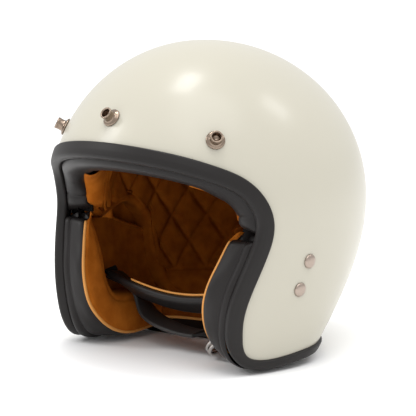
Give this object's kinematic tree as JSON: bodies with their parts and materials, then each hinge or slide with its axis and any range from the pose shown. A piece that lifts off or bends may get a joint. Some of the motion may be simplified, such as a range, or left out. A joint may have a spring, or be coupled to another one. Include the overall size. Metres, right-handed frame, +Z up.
{
  "type": "open face motorcycle helmet",
  "caption": "Open face motorcycle helmet with a rounded shell, rolled edge trim, quilted suede lining, padded cheeks, visor press studs and a ring-buckled chin strap.",
  "frame": {"origin": "centre of the bounding box's base, on the surface the helmet stands on", "axes": "+Z up through the crown; -Y towards the front of the face opening; +X towards the wearer's left"},
  "size_m": [0.2498, 0.2781, 0.2564],
  "materials": {
    "shell": "cream sprayed enamel on fibreglass, satin gloss",
    "trim": "black moulded rubber edging, soft sheen",
    "foam": "moulded expanded polystyrene",
    "suede": "cognac suede, quilted",
    "black_leather": "black leather, fine grain",
    "tan_leather": "tan leather piping",
    "nickel": "warm brushed nickel on brass",
    "steel": "polished steel",
    "webbing": "woven black nylon"
  },
  "bodies": {
    "helmet": {"outer_shell": "shell", "edge_trim": "trim", "crown_foam": "foam", "quilted_liner": "suede", "brow_lining": "black_leather", "neck_roll": "black_leather", "neck_piping": "tan_leather", "shell_rivets": "nickel", "visor_studs": "nickel", "stud_washers": "steel", "side_foam_left": "foam", "side_foam_right": "foam", "ear_panel_left": "suede", "ear_panel_right": "suede", "cheek_front_left": "black_leather", "cheek_front_right": "black_leather", "cheek_pad_left": "suede", "cheek_pad_right": "suede", "cheek_piping_left": "tan_leather", "cheek_piping_right": "tan_leather", "anchor_plate_left": "steel", "anchor_plate_right": "steel", "strap_root_left": "webbing", "strap_root_right": "webbing", "ear_piping_left": "suede", "ear_piping_right": "suede"},
    "chin_strap": {"chin_sleeve": "black_leather", "chin_facing": "tan_leather", "chin_webbing_left": "webbing", "chin_webbing_right": "webbing", "throat_strap": "black_leather", "strap_webbing_left": "webbing", "strap_webbing_right": "webbing", "strap_tail": "webbing"},
    "inner_ring": {"d_ring_inner": "steel"},
    "outer_ring": {"d_ring_outer": "steel"}
  },
  "joints": [
    {"name": "chin_strap_swing", "type": "hinge", "parent": "helmet", "child": "chin_strap", "pos_m": [0, -0.04, 0.057], "axis": [1, 0, 0], "range_deg": [-70, 45]},
    {"name": "inner_ring_pivot", "type": "hinge", "parent": "chin_strap", "child": "inner_ring", "pos_m": [0.046, -0.04, 0.02], "axis": [0, 1, 0], "range_deg": [-10, 10]},
    {"name": "outer_ring_pivot", "type": "hinge", "parent": "chin_strap", "child": "outer_ring", "pos_m": [0.04862, -0.04, 0.01738], "axis": [0, 1, 0], "range_deg": [-10, 10]}
  ],
  "couplings": [
    {"joint": "outer_ring_pivot", "follows": "inner_ring_pivot", "ratio": 1}
  ]
}
